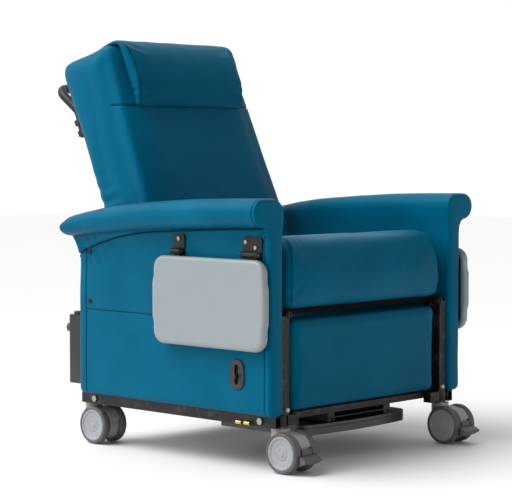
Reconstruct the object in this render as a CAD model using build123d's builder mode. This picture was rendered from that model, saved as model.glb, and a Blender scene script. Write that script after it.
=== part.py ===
from build123d import *
import os
from math import cos, radians, sin

os.makedirs("parts", exist_ok=True)

# Driving dimensions, in millimetres.  Lengths along Y count from the front face of the arms.
PEDAL_REACH = 87.0       # brake pedal tips stand this far in front of the arms
DEPTH = 1052.0           # brake pedal tips to push handle
FRONT = PEDAL_REACH - DEPTH / 2
SIDES = {"right": -1, "left": 1}     # as named by the person in the chair
GAP = 0.3                # play between a soft part and its neighbour

ARM_INNER = 325.0        # half the clear width between the arms
ARM_OUTER = 372.0        # outer face of the side panels
ARM_REAR = 690.0
UPHOLSTERY_Z = 135.0     # lower edge of the upholstered body
RAIL_Z = 107.0           # underside of the base frame
FRAME_TOP = UPHOLSTERY_Z - GAP
ROLL_REACH = 428.0       # outermost face of the arm roll

STEM_X = 314.0           # caster stems
STEM_Y = {"front": 20.0, "rear": 694.0}
WHEEL_R = 50.0
CASTER_OFFSET = 36.0     # stem axis to axle
DISC_R = 41.5
AXLE_R = 4.0
STEM_R = 6.0
RUNNING = 0.05           # radial play of a pin in its bore

SEAT_Z = 389.0           # underside of the seat cushion
SEAT_HALF = 298.0
PAN_THICK = 13.7
PAN_REAR = 500.0

BACK_TILT = 23.3         # lean of the backrest from upright
BACK_BASE = (462.0, 455.0)           # lower front edge of the backrest
BACK_REAR = ((716.0, 615.0), (887.0, 968.0))     # two points of its rear face
BACK_PIVOT = (520.0, 436.0)
BACK_PIN_R = 6.0
FRAME_DEPTH = 131.0      # front face of the backrest to the middle of its steel frame
UPRIGHT_X = 190.0

LEG_PIVOT = (14.0, 378.0)
LEG_PIN_R = 5.0
TRAY_Z = 78.0

TABLE_PIVOT = (384.0, 524.0)         # distance from the middle, height
TABLE_PIN_R = 4.0
TABLE_Y = (-5.0, 373.0)
TABLE_Z = (293.0, 513.0)
TABLE_X = (383.0, 405.0)
BRACKETS = ((26.0, 89.0), (288.0, 327.0))
BRACKET_FACE = 375.3

SPRING_FOOT = (345.0, 155.0)
SPRING_EYE = (570.0, 398.0)
LEVER_PIVOT = (150.0, 232.0)
SOCKET_AT = (-325.0, 735.0)          # drip-stand socket, plan position


def plan(z):
    """Horizontal plane at a height; local x across, local y back from the arm fronts."""
    return Plane(origin=(0, FRONT, z), x_dir=(1, 0, 0), z_dir=(0, 0, 1))


def side(x):
    """Upright plane facing +X; local x back from the arm fronts, local y the height."""
    return Plane(origin=(x, FRONT, 0), x_dir=(0, 1, 0), z_dir=(1, 0, 0))


def elevation(y):
    """Upright plane facing the front; local x across, local y the height."""
    return Plane(origin=(0, FRONT + y, 0), x_dir=(1, 0, 0), z_dir=(0, -1, 0))


def back_section(up):
    """Plane square to the backrest; local x across, local y back from its front face."""
    lean = radians(BACK_TILT)
    start = (0, FRONT + BACK_BASE[0] + up * sin(lean), BACK_BASE[1] + up * cos(lean))
    return Plane(origin=start, x_dir=(1, 0, 0), z_dir=(0, sin(lean), cos(lean)))


def on_back(up, behind):
    """Side-elevation point that far up the backrest and that far behind its front face."""
    lean = radians(BACK_TILT)
    y = BACK_BASE[0] + up * sin(lean) + behind * cos(lean)
    return (y, BACK_BASE[1] + up * cos(lean) - behind * sin(lean))


def on_rear(z, out):
    """Side-elevation point standing out from the backrest's rear face at a height."""
    (y0, z0), (y1, z1) = BACK_REAR
    length = ((y1 - y0) ** 2 + (z1 - z0) ** 2) ** 0.5
    y = y0 + (z - z0) * (y1 - y0) / (z1 - z0)
    return (y + out * (z1 - z0) / length, z - out * (y1 - y0) / length)


def write(piece, name):
    piece.part.label = name
    export_step(piece.part, f"parts/{name}.step")


def plate(x_inner, x_outer, outline, bores=()):
    """Flat plate seen from the side: an outline, and bores as (point, radius)."""
    with BuildSketch(side(x_inner)) as face:
        with BuildLine():
            Polyline(*outline, close=True)
        make_face()
        for point, radius in bores:
            with Locations(point):
                Circle(radius, mode=Mode.SUBTRACT)
    extrude(face.sketch, amount=x_outer - x_inner)


def rod(x_inner, x_outer, point, radius, mode=Mode.ADD):
    """Round bar across the chair."""
    with BuildSketch(side(x_inner)) as disc:
        with Locations(point):
            Circle(radius)
    extrude(disc.sketch, amount=x_outer - x_inner, mode=mode)


# Base frame: rectangular steel tubes along the sides and across, welded to the caster sockets.
RAIL_X = (328.0, 348.0)
RAIL_Y = (6.0, 704.0)
WALL = 2.0
for name, s in SIDES.items():
    with BuildPart() as rail:
        with BuildSketch(elevation(RAIL_Y[1])):
            with Locations((s * (RAIL_X[0] + RAIL_X[1]) / 2, (RAIL_Z + FRAME_TOP) / 2)):
                Rectangle(RAIL_X[1] - RAIL_X[0], FRAME_TOP - RAIL_Z)
                Rectangle(RAIL_X[1] - RAIL_X[0] - 2 * WALL, FRAME_TOP - RAIL_Z - 2 * WALL,
                          mode=Mode.SUBTRACT)
        extrude(amount=RAIL_Y[1] - RAIL_Y[0])
    write(rail, f"side_rail_{name}")

FRONT_BAR_Z = 119.0      # the front crossbar is shallow, to clear the sliding tray
CROSSBAR_Y = {"front": 46.5, "middle": 342.5, "rear": 667.5}
for name, y in CROSSBAR_Y.items():
    with BuildPart() as crossbar:
        with BuildSketch(side(-RAIL_X[0])):
            low = FRONT_BAR_Z if name == "front" else RAIL_Z
            with Locations((y, (low + FRAME_TOP) / 2)):
                Rectangle(25, FRAME_TOP - low)
                Rectangle(25 - 2 * WALL, FRAME_TOP - low - 2 * WALL, mode=Mode.SUBTRACT)
        extrude(amount=2 * RAIL_X[0])
        if name == "front":
            # Hangers down to the runners of the foot tray.
            with BuildSketch(plan(RAIL_Z)):
                with Locations((-110, y), (110, y)):
                    Rectangle(25, 20)
            extrude(amount=FRONT_BAR_Z - RAIL_Z + WALL / 2)
            # Folded gussets beside the front sockets.
            with BuildSketch(plan(RAIL_Z + 1)):
                with Locations((-279, 22), (279, 22)):
                    Rectangle(38, 24)
            extrude(amount=FRAME_TOP - RAIL_Z - 1)
        if name == "middle":
            # Ears for the foot of the gas spring.
            for s in (-1, 1):
                ear = [(330, FRAME_TOP), (330, 158), (338, 166), (352, 166), (358, 158), (355, FRAME_TOP)]
                plate(s * 8, s * 12, ear, [(SPRING_FOOT, 5)])
    write(crossbar, f"{name}_crossbar")

STEMS = [(s * STEM_X, y) for s in (-1, 1) for y in STEM_Y.values()]
with BuildPart() as sockets:
    with BuildSketch(plan(RAIL_Z)):
        with Locations(*STEMS):
            Circle(RAIL_X[0] - STEM_X)
            Circle(STEM_R, mode=Mode.SUBTRACT)
    extrude(amount=FRAME_TOP - RAIL_Z)
write(sockets, "caster_sockets")

STEM_FOOT = 62.0
with BuildPart() as stems:
    with BuildSketch(plan(STEM_FOOT)):
        with Locations(*STEMS):
            Circle(STEM_R)
    extrude(amount=FRAME_TOP - STEM_FOOT)
    with BuildSketch(plan(RAIL_Z - 2)):
        with Locations(*STEMS):
            Circle(11)
    extrude(amount=2)
write(stems, "caster_stems")

# Front posts stand on the front crossbar; an ear on each holds the leg-rest pivot.
POST_X = (296.0, 321.0)
POST_Y = (9.0, 59.0)
POST_WIDE = POST_X[1] - POST_X[0]
POST_DEEP = POST_Y[1] - POST_Y[0]
with BuildPart() as posts:
    for s in (-1, 1):
        with BuildSketch(plan(FRAME_TOP)):
            with Locations((s * sum(POST_X) / 2, sum(POST_Y) / 2)):
                Rectangle(POST_WIDE, POST_DEEP)
                Rectangle(POST_WIDE - 2 * WALL, POST_DEEP - 2 * WALL, mode=Mode.SUBTRACT)
        extrude(amount=SEAT_Z - PAN_THICK - GAP - FRAME_TOP)
        ear = [(5.5, 376), (7, 371), (34, 342), (34, 374.4), (26, 386), (7, 386), (5.5, 381)]
        plate(s * POST_X[0], s * (POST_X[0] + 6), ear, [(LEG_PIVOT, LEG_PIN_R)])
write(posts, "front_posts")

with BuildPart() as bumpers:
    with BuildSketch(elevation(POST_Y[0] - 6)):
        with Locations((-305, 148), (305, 148)):
            Circle(5)
    extrude(amount=-6)
write(bumpers, "post_bumpers")

# Arms: plywood core standing on the rail, inside a foam and vinyl cover with a roll along the top.
CORE_X = (341.0, 356.0)
CORE_OUTLINE = [(20, UPHOLSTERY_Z), (670, UPHOLSTERY_Z), (670, 480), (480, 560), (20, 575)]
ROLL_SECTIONS = ((0, 588, 659), (483, 564, 637), (712, 544, 588))
LEVER_WINDOW = ((97.0, 119.0), (207.0, 257.0))
for name, s in SIDES.items():
    with BuildPart() as core:
        plate(s * CORE_X[0], s * CORE_X[1], CORE_OUTLINE)
        if name == "right":
            rod(s * CORE_X[1], s * CORE_X[0], LEVER_PIVOT, 3, mode=Mode.SUBTRACT)
    write(core, f"arm_core_{name}")

    with BuildPart() as arm:
        panel = [(0, UPHOLSTERY_Z), (ARM_REAR - 5, UPHOLSTERY_Z), (ARM_REAR, 520), (ARM_REAR, 575),
                 (483, 610), (0, 635)]
        plate(s * ARM_INNER, s * ARM_OUTER, panel)
        for y, low, high in ROLL_SECTIONS:
            with BuildSketch(elevation(y)):
                with Locations((s * (ARM_INNER + ROLL_REACH) / 2, (low + high) / 2)):
                    RectangleRounded(ROLL_REACH - ARM_INNER, high - low, 0.42 * (high - low))
        loft(ruled=True)
        # Slot for the core, open below.
        slot = [(20 - GAP, 130), (670 + GAP, 130), (670 + GAP, 480), (480, 560 + GAP), (20 - GAP, 575 + GAP)]
        with BuildSketch(side(s * (CORE_X[0] - GAP))):
            with BuildLine():
                Polyline(*slot, close=True)
            make_face()
        extrude(amount=s * (CORE_X[1] - CORE_X[0] + 2 * GAP), mode=Mode.SUBTRACT)
        if name == "right":
            # Room for the release lever behind its escutcheon.
            (y0, y1), (z0, z1) = LEVER_WINDOW
            with BuildSketch(side(s * CORE_X[1])):
                with Locations((128, (z0 + z1) / 2)):
                    Rectangle(72, z1 - z0)
            extrude(amount=s * 10, mode=Mode.SUBTRACT)
            with BuildSketch(side(s * CORE_X[1])):
                with Locations(((y0 + y1) / 2, (z0 + z1) / 2)):
                    Rectangle(y1 - y0, z1 - z0)
            extrude(amount=s * 30, mode=Mode.SUBTRACT)
    write(arm, f"arm_{name}")

# Rear panel: upholstered board across the back of the body, between the arms.
with BuildPart() as rear_panel:
    with BuildSketch(side(-ARM_INNER + GAP)):
        with Locations((661, (UPHOLSTERY_Z + 372) / 2)):
            Rectangle(22, 372 - UPHOLSTERY_Z)
    extrude(amount=2 * (ARM_INNER - GAP))
write(rear_panel, "rear_panel")

# Seat: plywood pan on the front posts, and a crowned foam cushion with a waterfall front.
with BuildPart() as pan:
    with BuildSketch(plan(SEAT_Z - PAN_THICK)):
        with Locations((0, (45 + PAN_REAR) / 2)):
            Rectangle(2 * (ARM_INNER - GAP), PAN_REAR - 45)
    extrude(amount=PAN_THICK - GAP)
write(pan, "seat_pan")

with BuildPart() as cushion:
    with BuildSketch(side(-SEAT_HALF)):
        with BuildLine():
            Polyline((28, 566), (240, 549), (487, 532), (459, 468), (457, SEAT_Z), (16, SEAT_Z))
            Spline((16, SEAT_Z), (5, 425), (5, 500), (12, 548), (28, 566))
        make_face()
    extrude(amount=2 * SEAT_HALF)
    front_corners = cushion.edges().filter_by(GeomType.BSPLINE)
    fillet(front_corners, 22)
write(cushion, "seat_cushion")

# Backrest: one slip-over cushion on a steel frame that hangs on two pivots behind the seat pan.
BACK_OUTLINE = [BACK_BASE, (701, 1010), (712, 1048), (729, 1062), (800, 1040), (887, 1005), BACK_REAR[1],
                BACK_REAR[0], (637, 441)]
with BuildPart() as back_cushion:
    with BuildSketch(side(-265)):
        with BuildLine():
            Polyline(*BACK_OUTLINE, close=True)
        make_face()
    extrude(amount=530)
    with BuildSketch(elevation(400)):
        with BuildLine():
            Polyline((-264, 430), (-262, 615), (-230, 1075), (230, 1075), (262, 615), (264, 430), close=True)
        make_face()
    extrude(amount=-600, mode=Mode.INTERSECT)
    pocket = [on_back(-80, 117), on_back(565, 117), on_back(565, 145), on_back(-80, 145)]
    with BuildSketch(side(-UPRIGHT_X - 20)):
        with BuildLine():
            Polyline(*pocket, close=True)
        make_face()
    extrude(amount=2 * (UPRIGHT_X + 20), mode=Mode.SUBTRACT)
write(back_cushion, "back_cushion")

with BuildPart() as uprights:
    for s in (-1, 1):
        with BuildSketch(back_section(-15)):
            with Locations((s * UPRIGHT_X, FRAME_DEPTH)):
                Rectangle(25, 20)
        extrude(amount=565)
        lug = [(506.5, 437), (509, 446), (520, 449), (588, 441), (600, 425), (590, 395), (574, 389),
               (514, 424)]
        plate(s * (UPRIGHT_X + 12.5), s * (UPRIGHT_X + 17.5), lug, [(BACK_PIVOT, BACK_PIN_R + RUNNING)])
write(uprights, "back_uprights")

with BuildPart() as back_bars:
    for up in (20, 300, 520):
        middle = on_back(up, FRAME_DEPTH)
        with BuildSketch(Plane(origin=(-UPRIGHT_X + 12.5, FRONT + middle[0], middle[1]),
                               x_dir=(0, cos(radians(BACK_TILT)), -sin(radians(BACK_TILT))),
                               z_dir=(1, 0, 0))):
            Rectangle(20, 20)
        extrude(amount=2 * UPRIGHT_X - 25)
    for s in (-1, 1):
        ear = [(561, 389), (579, 389), (600, 412), (596, 430), (576, 420), (560, 402)]
        plate(s * 8, s * 12, ear, [(SPRING_EYE, 5)])
write(back_bars, "back_crossbars")

# Closing board below the cushion, at the back of the frame.
with BuildPart() as skirt:
    with BuildSketch(side(-255)):
        with BuildLine():
            Polyline(on_back(-2, 158), on_back(-2, 146), on_back(-52, 146), on_back(-52, 158), close=True)
        make_face()
    extrude(amount=510)
    # Notch over the gas spring, which comes close when the back lies flat.
    with BuildSketch(side(-22)):
        with BuildLine():
            Polyline(on_back(-26, 172), on_back(-26, 132), on_back(-62, 132), on_back(-62, 172), close=True)
        make_face()
    extrude(amount=44, mode=Mode.SUBTRACT)
write(skirt, "back_skirt")

with BuildPart() as back_brackets:
    for s in (-1, 1):
        x0 = UPRIGHT_X + 18
        web = [(500.3, 371), (526, 371), (534, 430), (532, 444), (520, 450), (506, 446), (500.3, 430)]
        plate(s * x0, s * (x0 + 6), web, [(BACK_PIVOT, BACK_PIN_R)])
        with BuildSketch(plan(SEAT_Z - PAN_THICK - 4)):
            with Locations((s * (x0 + 12), 475)):
                Rectangle(24, 56)
        extrude(amount=4 - GAP)
write(back_brackets, "back_brackets")

# Head pillow: a thin pad hung over the top of the backrest.
PILLOW_HALF = 186.0
with BuildPart() as pillow:
    with BuildSketch(side(-PILLOW_HALF)):
        with BuildLine():
            Polyline((651, 898), (700.5, 1012), (711.5, 1048.5), (729, 1062.5), (800, 1040.5), (860, 1016.5),
                     (862, 1022), (802, 1048), (728, 1070), (703, 1056), (686, 1020), (640, 918), (638, 900),
                     close=True)
        make_face()
    extrude(amount=2 * PILLOW_HALF)
write(pillow, "head_pillow")

# Push handle: a bent tube on two clamp blocks at the back of the backrest.
HANDLE_R = 12.5
HANDLE_X = 215.0
HANDLE_PATH = ((838, 812), (862, 880), (952.5, 944))
with BuildPart() as handle:
    corners = [(s * HANDLE_X, FRONT + y, z) for s, path in ((-1, HANDLE_PATH), (1, HANDLE_PATH[::-1]))
               for y, z in path]
    with BuildLine() as route:
        FilletPolyline(*corners, radius=38)
    with BuildSketch(Plane(origin=route.line @ 0, z_dir=route.line % 0)):
        Circle(HANDLE_R)
        Circle(HANDLE_R - WALL, mode=Mode.SUBTRACT)
    sweep()
write(handle, "push_handle")

with BuildPart() as handle_blocks:
    for s in (-1, 1):
        for z in (823, 852):
            block = [on_rear(z, GAP), on_rear(z + 14, GAP), on_rear(z + 14, 31), on_rear(z, 31)]
            plate(s * (HANDLE_X - 15), s * (HANDLE_X + 15), block)
        with BuildSketch(Plane(origin=(s * HANDLE_X, FRONT + 838, 812), z_dir=(0, 24, 68))):
            Circle(HANDLE_R + 0.1)
        extrude(amount=70, mode=Mode.SUBTRACT)
write(handle_blocks, "handle_clamps")

# Leg rest: steel arms on the posts' pivots, a board and a foam pad.
LEG_ARM_X = (288.3, 292.3)
with BuildPart() as leg_arms:
    for s in (-1, 1):
        arm_outline = [(5, 378), (8, 384.5), (14, 387), (22, 384), (74, 330), (74, 200), (60, 200),
                       (60, 318), (8, 371)]
        plate(s * LEG_ARM_X[0], s * LEG_ARM_X[1], arm_outline, [(LEG_PIVOT, LEG_PIN_R + RUNNING)])
write(leg_arms, "leg_rest_arms")

with BuildPart() as leg_board:
    with BuildSketch(elevation(70)):
        with Locations((0, 250)):
            Rectangle(576, 200)
    extrude(amount=11.5)
write(leg_board, "leg_rest_board")

with BuildPart() as leg_pad:
    with BuildSketch(side(-286)):
        with BuildLine():
            Polyline((11, 362), (16, 369), (50, 369), (58, 362), (58, 142), (52, 137), (26, 137), (20, 143),
                     close=True)
        make_face()
    extrude(amount=572)
write(leg_pad, "leg_rest_pad")

# Foot tray: a moulded double board that slides forward on two T bars in channels under the frame.
TRAY_HALF = 210.0
TRAY_BOW = 18.0          # the front edge bows forward by this much
TRAY_Y = (27.0, 330.0)
with BuildPart() as tray:
    for z, thick, inset in ((TRAY_Z - 10, 17, 0), (TRAY_Z + 7, 2, 2.5), (TRAY_Z + 9, 7, 0)):
        half = TRAY_HALF - inset
        front = TRAY_Y[0] + inset
        back = TRAY_Y[1] - inset
        with BuildSketch(plan(z)) as board:
            with BuildLine():
                Polyline((-half, front + TRAY_BOW), (-half, back), (half, back), (half, front + TRAY_BOW))
                ThreePointArc((half, front + TRAY_BOW), (0, front), (-half, front + TRAY_BOW))
            make_face()
            fillet(board.vertices().group_by(Axis.Y)[0], 45)
            fillet(board.vertices().group_by(Axis.Y)[-1], 12)
        extrude(amount=thick)
write(tray, "foot_tray")

SLIDE_X = 110.0
with BuildPart() as slides:
    for s in (-1, 1):
        with BuildSketch(elevation(TRAY_Y[1])):
            with Locations((s * SLIDE_X, TRAY_Z + 18)):
                Rectangle(8, 4)
            with Locations((s * SLIDE_X, TRAY_Z + 22.5)):
                Rectangle(18, 5)
        extrude(amount=TRAY_Y[1] - TRAY_Y[0] - 12)
write(slides, "tray_slides")

with BuildPart() as runners:
    for s in (-1, 1):
        with BuildSketch(elevation(356)):
            with Locations((s * SLIDE_X, (TRAY_Z + 17 + RAIL_Z) / 2)):
                Rectangle(25, RAIL_Z - TRAY_Z - 17)
            with Locations((s * SLIDE_X, TRAY_Z + 23)):
                Rectangle(20, 8, mode=Mode.SUBTRACT)
            with Locations((s * SLIDE_X, TRAY_Z + 17)):
                Rectangle(10, 8, mode=Mode.SUBTRACT)
        extrude(amount=320)
    # Roof between the runners, which keeps dust off the tray.
    with BuildSketch(plan(RAIL_Z - 2.5)):
        with Locations((0, 196)):
            Rectangle(2 * (SLIDE_X - 12), 320)
    extrude(amount=2.5)
write(runners, "tray_runners")

# Side tables: moulded tops that hang on brackets outside the arms and swing up to level.
table_mid = (sum(TABLE_Y) / 2, sum(TABLE_Z) / 2)
table_size = (TABLE_Y[1] - TABLE_Y[0], TABLE_Z[1] - TABLE_Z[0])
table_thick = TABLE_X[1] - TABLE_X[0]
for name, s in SIDES.items():
    with BuildPart() as table:
        with BuildSketch(side(s * TABLE_X[0])):
            with Locations(table_mid):
                RectangleRounded(*table_size, 34)
        extrude(amount=s * table_thick)
        outer_face = table.faces().sort_by(Axis.X)[-1 if s > 0 else 0]
        fillet(outer_face.edges(), 5)
        with BuildSketch(side(s * TABLE_X[0])):
            with Locations(table_mid):
                with GridLocations(93, 66.5, 4, 3):
                    RectangleRounded(89, 62.5, 14)
        extrude(amount=s * (table_thick - 6), mode=Mode.SUBTRACT)
        # Grip lips on the two short edges.
        for end in (-1, 1):
            with BuildSketch(side(s * (TABLE_X[0] + 2))):
                with Locations((table_mid[0] + end * (table_size[0] / 2 - 1), table_mid[1])):
                    RectangleRounded(9, 96, 3)
            extrude(amount=s * 8)
    write(table, f"table_top_{name}")

    with BuildPart() as leaves:
        for y0, y1 in BRACKETS:
            with BuildSketch(elevation(y1 - 9)):
                with BuildLine():
                    Polyline((s * 379.4, 400), (s * 382.7, 400), (s * 382.7, 516), (s * 388, 520),
                             (s * 388, 530), (s * 379, 530), (s * 379.4, 516), close=True)
                make_face()
                with Locations((s * TABLE_PIVOT[0], TABLE_PIVOT[1])):
                    Circle(7)
                    Circle(TABLE_PIN_R + RUNNING, mode=Mode.SUBTRACT)
            extrude(amount=y1 - y0 - 18)
    write(leaves, f"table_leaves_{name}")

with BuildPart() as brackets:
    for s in (-1, 1):
        for y0, y1 in BRACKETS:
            with BuildSketch(side(s * (ARM_OUTER + GAP))):
                with Locations(((y0 + y1) / 2, 502)):
                    RectangleRounded(y1 - y0, 126, 6)
            extrude(amount=s * (BRACKET_FACE - ARM_OUTER - GAP))
            for ear_end in (y0 + 8, y1 - 3):
                with BuildSketch(elevation(ear_end)):
                    with Locations((s * TABLE_PIVOT[0], TABLE_PIVOT[1])):
                        Circle(7)
                    with Locations((s * (BRACKET_FACE + TABLE_PIVOT[0]) / 2, TABLE_PIVOT[1])):
                        Rectangle(TABLE_PIVOT[0] - BRACKET_FACE, 14)
                    with Locations((s * TABLE_PIVOT[0], TABLE_PIVOT[1])):
                        Circle(TABLE_PIN_R, mode=Mode.SUBTRACT)
                extrude(amount=5)
write(brackets, "table_brackets")

# Pivot pins: leg rest, backrest, tables, gas spring and release lever.
with BuildPart() as pins:
    for s in (-1, 1):
        rod(s * 287.3, s * 304, LEG_PIVOT, LEG_PIN_R)
        rod(s * (UPRIGHT_X + 12.7), s * (UPRIGHT_X + 27), BACK_PIVOT, BACK_PIN_R)
        for y0, y1 in BRACKETS:
            with BuildSketch(elevation(y1 - 2)):
                with Locations((s * TABLE_PIVOT[0], TABLE_PIVOT[1])):
                    Circle(TABLE_PIN_R)
            extrude(amount=y1 - y0 - 4)
    rod(-12.5, 12.5, SPRING_FOOT, 5)
    rod(-365.5, -342, LEVER_PIVOT, 3)
write(pins, "pivot_pins")

with BuildPart() as spring_pin:
    rod(-12.5, 12.5, SPRING_EYE, 5)
write(spring_pin, "back_spring_pin")

# Gas spring between the middle crossbar and the backrest frame.
spring_run = (SPRING_EYE[0] - SPRING_FOOT[0], SPRING_EYE[1] - SPRING_FOOT[1])
spring_length = (spring_run[0] ** 2 + spring_run[1] ** 2) ** 0.5
spring_dir = (0, spring_run[0] / spring_length, spring_run[1] / spring_length)


def along_spring(distance):
    """Plane square to the gas spring at a distance from its foot pin."""
    start = (0, FRONT + SPRING_FOOT[0] + distance * spring_dir[1], SPRING_FOOT[1] + distance * spring_dir[2])
    return Plane(origin=start, x_dir=(1, 0, 0), z_dir=spring_dir)


CYLINDER = (14.0, 220.0)
ROD_R = 5.0
with BuildPart() as cylinder:
    with BuildSketch(along_spring(CYLINDER[0])):
        Circle(11)
    extrude(amount=CYLINDER[1] - CYLINDER[0])
    with BuildSketch(along_spring(CYLINDER[0] + 6)):
        Circle(9)
    extrude(amount=CYLINDER[1] - CYLINDER[0] - 12, mode=Mode.SUBTRACT)
    with BuildSketch(along_spring(CYLINDER[1] - 8)):
        Circle(ROD_R + RUNNING)
    extrude(amount=10, mode=Mode.SUBTRACT)
    rod(-7, 7, SPRING_FOOT, 11)
    with BuildSketch(along_spring(4)):
        Rectangle(10, 14)
    extrude(amount=12)
    rod(-8, 8, SPRING_FOOT, 5 + RUNNING, mode=Mode.SUBTRACT)
write(cylinder, "gas_spring_cylinder")

with BuildPart() as spring_rod:
    with BuildSketch(along_spring(80)):
        Circle(ROD_R)
    extrude(amount=spring_length - 10 - 80)
    with BuildSketch(along_spring(74)):
        Circle(8.9)
    extrude(amount=8)
    rod(-6, 6, SPRING_EYE, 13.5)
    rod(-7, 7, SPRING_EYE, 9, mode=Mode.SUBTRACT)
write(spring_rod, "gas_spring_rod")

# Release lever in an oval escutcheon on the right side panel.
with BuildPart() as escutcheon:
    with BuildSketch(side(-ARM_OUTER - GAP)):
        with Locations((108, 232)):
            RectangleRounded(48, 74, 23.5)
            SlotOverall(50, 12, rotation=90, mode=Mode.SUBTRACT)
    extrude(amount=-5)
    rim = escutcheon.faces().sort_by(Axis.X)[0].outer_wire().edges()
    fillet(rim, 2)
write(escutcheon, "lever_escutcheon")

with BuildPart() as lever:
    plate(-359, -363, [(102, 222), (114, 222), (150, 225.5), (156, 232), (150, 238.5), (114, 234),
                       (102, 234)], [(LEVER_PIVOT, 3 + RUNNING)])
    rod(-362, -382, (108, 228), 4)
    rod(-380, -388, (108, 228), 6.5)
    fillet(lever.faces().sort_by(Axis.X)[0].edges(), 2)
write(lever, "release_lever")

# Drip-stand socket on the back of the right arm.
SOCKET_R = 11.0
SOCKET_Z = (155.0, 337.0)
SOCKET_BORE = 150.0
with BuildPart() as iv_socket:
    with BuildSketch(plan(SOCKET_Z[0])):
        with Locations((SOCKET_AT[0], 724)):
            RectangleRounded(48, 66, 9)
    extrude(amount=SOCKET_Z[1] - SOCKET_Z[0])
    with BuildSketch(plan(SOCKET_Z[1])):
        with Locations(SOCKET_AT):
            Circle(17)
    extrude(amount=8)
    with BuildSketch(plan(SOCKET_Z[1] + 8 - SOCKET_BORE)):
        with Locations(SOCKET_AT):
            Circle(SOCKET_R)
    extrude(amount=SOCKET_BORE, mode=Mode.SUBTRACT)
write(iv_socket, "iv_pole_socket")

with BuildPart() as iv_knob:
    with BuildSketch(elevation(757.3)):
        with Locations((SOCKET_AT[0], 300)):
            Circle(6)
    extrude(amount=-8)
    with BuildSketch(elevation(765)):
        with Locations((SOCKET_AT[0], 300)):
            RegularPolygon(13, 8)
    extrude(amount=-12)
write(iv_knob, "iv_pole_clamp_knob")

# Black press studs at the rear of the side panels.
with BuildPart() as studs:
    for s in (-1, 1):
        for z in (380, 509):
            rod(s * (ARM_OUTER + GAP), s * (ARM_OUTER + 3.3), (643, z), 6.5)
write(studs, "press_studs")

# Screws: bracket screws in the side panels and the hexagon bolts of the base frame.
BRACKET_SCREWS = ((77, 554), (45, 541), (307, 555))
with BuildPart() as screws:
    for s in (-1, 1):
        for point in BRACKET_SCREWS:
            rod(s * BRACKET_FACE, s * (BRACKET_FACE + 2.6), point, 5)
        for y in (54, 650):
            with BuildSketch(side(s * RAIL_X[1])):
                with Locations((y, 121)):
                    RegularPolygon(9, 6)
            extrude(amount=s * 6)
write(screws, "frame_screws")

# Brass ferrules of the brake cable under the right rail.
with BuildPart() as ferrules:
    for y in (84, 112):
        with BuildSketch(elevation(y + 18)):
            with Locations((-(RAIL_X[1] + 5.5), 113)):
                Circle(5)
        extrude(amount=18)
write(ferrules, "cable_ferrules")


# Twin-wheel casters: hood on the stem, a wheelset with its axle, tyres, and a brake pedal in front.
def wedge(start, end, reach=90):
    """Three-sided piece about the sketch's origin, between two angles from straight back."""
    return [(0, 0), (reach * cos(radians(start)), reach * sin(radians(start))),
            (reach * cos(radians(end)), reach * sin(radians(end)))]


def band(x0, x1, axle, inner, outer, start, end):
    """Curved cover about the axle, between two radii and two angles."""
    with BuildSketch(side(x0)) as arc:
        with Locations(axle):
            Circle(outer)
            if inner:
                Circle(inner, mode=Mode.SUBTRACT)
        with BuildLine():
            Polyline(*[(axle[0] + u, axle[1] + v) for u, v in wedge(start, end)], close=True)
        make_face(mode=Mode.INTERSECT)
    extrude(arc.sketch, amount=x1 - x0)


def both_wheels(x, axle, radius, x_in, x_out, mode=Mode.ADD):
    for s in (-1, 1):
        rod(x + s * x_in, x + s * x_out, axle, radius, mode=mode)


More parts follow.
